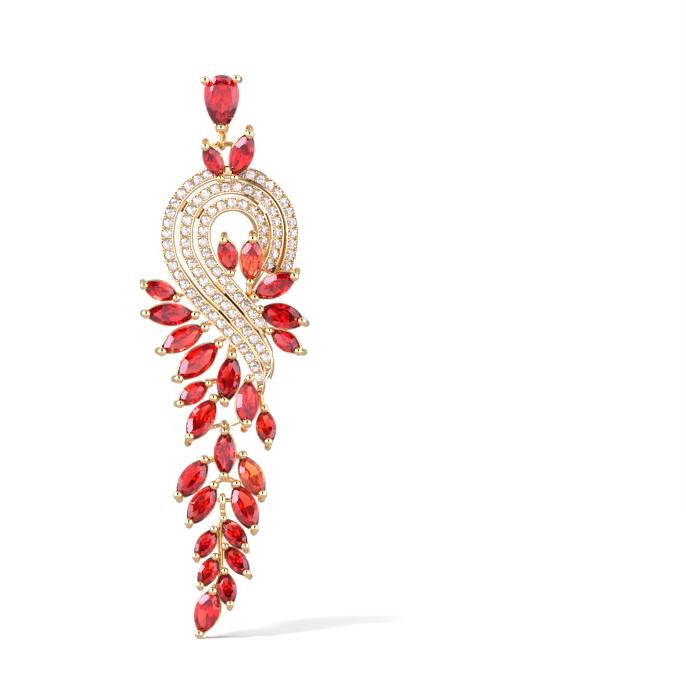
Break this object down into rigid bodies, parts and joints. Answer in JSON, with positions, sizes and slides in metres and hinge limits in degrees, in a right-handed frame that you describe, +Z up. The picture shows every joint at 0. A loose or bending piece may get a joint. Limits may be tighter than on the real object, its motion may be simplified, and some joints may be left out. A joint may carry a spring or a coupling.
{
  "type": "leaf drop earring",
  "caption": "Long gold-toned drop earring: pear-cut stud, pave ribbon loop with red marquise leaves, and hanging leaf tails.",
  "frame": {"origin": "point where the ear post leaves the flat back of the stud", "axes": "+Z up as worn, -Y the jewelled front, +Y along the ear post away from the wearer's view, +X to the viewer's right"},
  "size_m": [0.0248, 0.0169, 0.0829],
  "materials": {
    "gold_plate": "polished pale yellow gold plating",
    "red_crystal": "faceted red crystal",
    "orange_crystal": "faceted orange-red crystal",
    "clear_crystal": "faceted clear crystal"
  },
  "bodies": {
    "stud": {"stud_setting": "gold_plate", "stud_stone": "red_crystal"},
    "link": {"hanging_link": "gold_plate"},
    "main_drop": {"main_frame": "gold_plate", "crown_left_stone": "red_crystal", "crown_right_stone": "red_crystal", "inner_left_stone": "red_crystal", "inner_right_stone": "orange_crystal", "right_fan_1_stone": "red_crystal", "right_fan_2_stone": "red_crystal", "right_fan_3_stone": "red_crystal", "left_fan_1_stone": "red_crystal", "left_fan_2_stone": "red_crystal", "left_fan_3_stone": "red_crystal", "left_fan_4_stone": "red_crystal", "centre_stone": "red_crystal", "lower_left_small_stone": "red_crystal", "lower_left_large_stone": "red_crystal", "right_vertical_stone": "red_crystal", "far_right_stone": "red_crystal"},
    "middle_drop": {"middle_frame": "gold_plate", "middle_centre_stone": "red_crystal", "middle_upper_left_stone": "red_crystal", "middle_upper_right_stone": "orange_crystal", "middle_lower_left_stone": "red_crystal", "middle_lower_right_stone": "red_crystal"},
    "tail_drop": {"tail_frame": "gold_plate", "tail_right_1_stone": "red_crystal", "tail_left_1_stone": "red_crystal", "tail_right_2_stone": "red_crystal", "tail_left_2_stone": "red_crystal", "tail_right_3_stone": "red_crystal", "tail_left_3_stone": "red_crystal"}
  },
  "joints": [
    {"name": "link_sway", "type": "hinge", "parent": "stud", "child": "link", "pos_m": [0, -0.0016, -0.0053], "axis": [0, 1, 0], "range_deg": [-25, 25]},
    {"name": "main_swing", "type": "hinge", "parent": "link", "child": "main_drop", "pos_m": [0, -0.0016, -0.00662], "axis": [1, 0, 0], "range_deg": [-20, 20]},
    {"name": "middle_swing", "type": "hinge", "parent": "main_drop", "child": "middle_drop", "pos_m": [0.00035, -0.0016, -0.04802], "axis": [1, 0, 0], "range_deg": [-20, 20]},
    {"name": "tail_swing", "type": "hinge", "parent": "middle_drop", "child": "tail_drop", "pos_m": [0.00009, -0.0016, -0.059], "axis": [1, 0, 0], "range_deg": [-20, 20]}
  ]
}
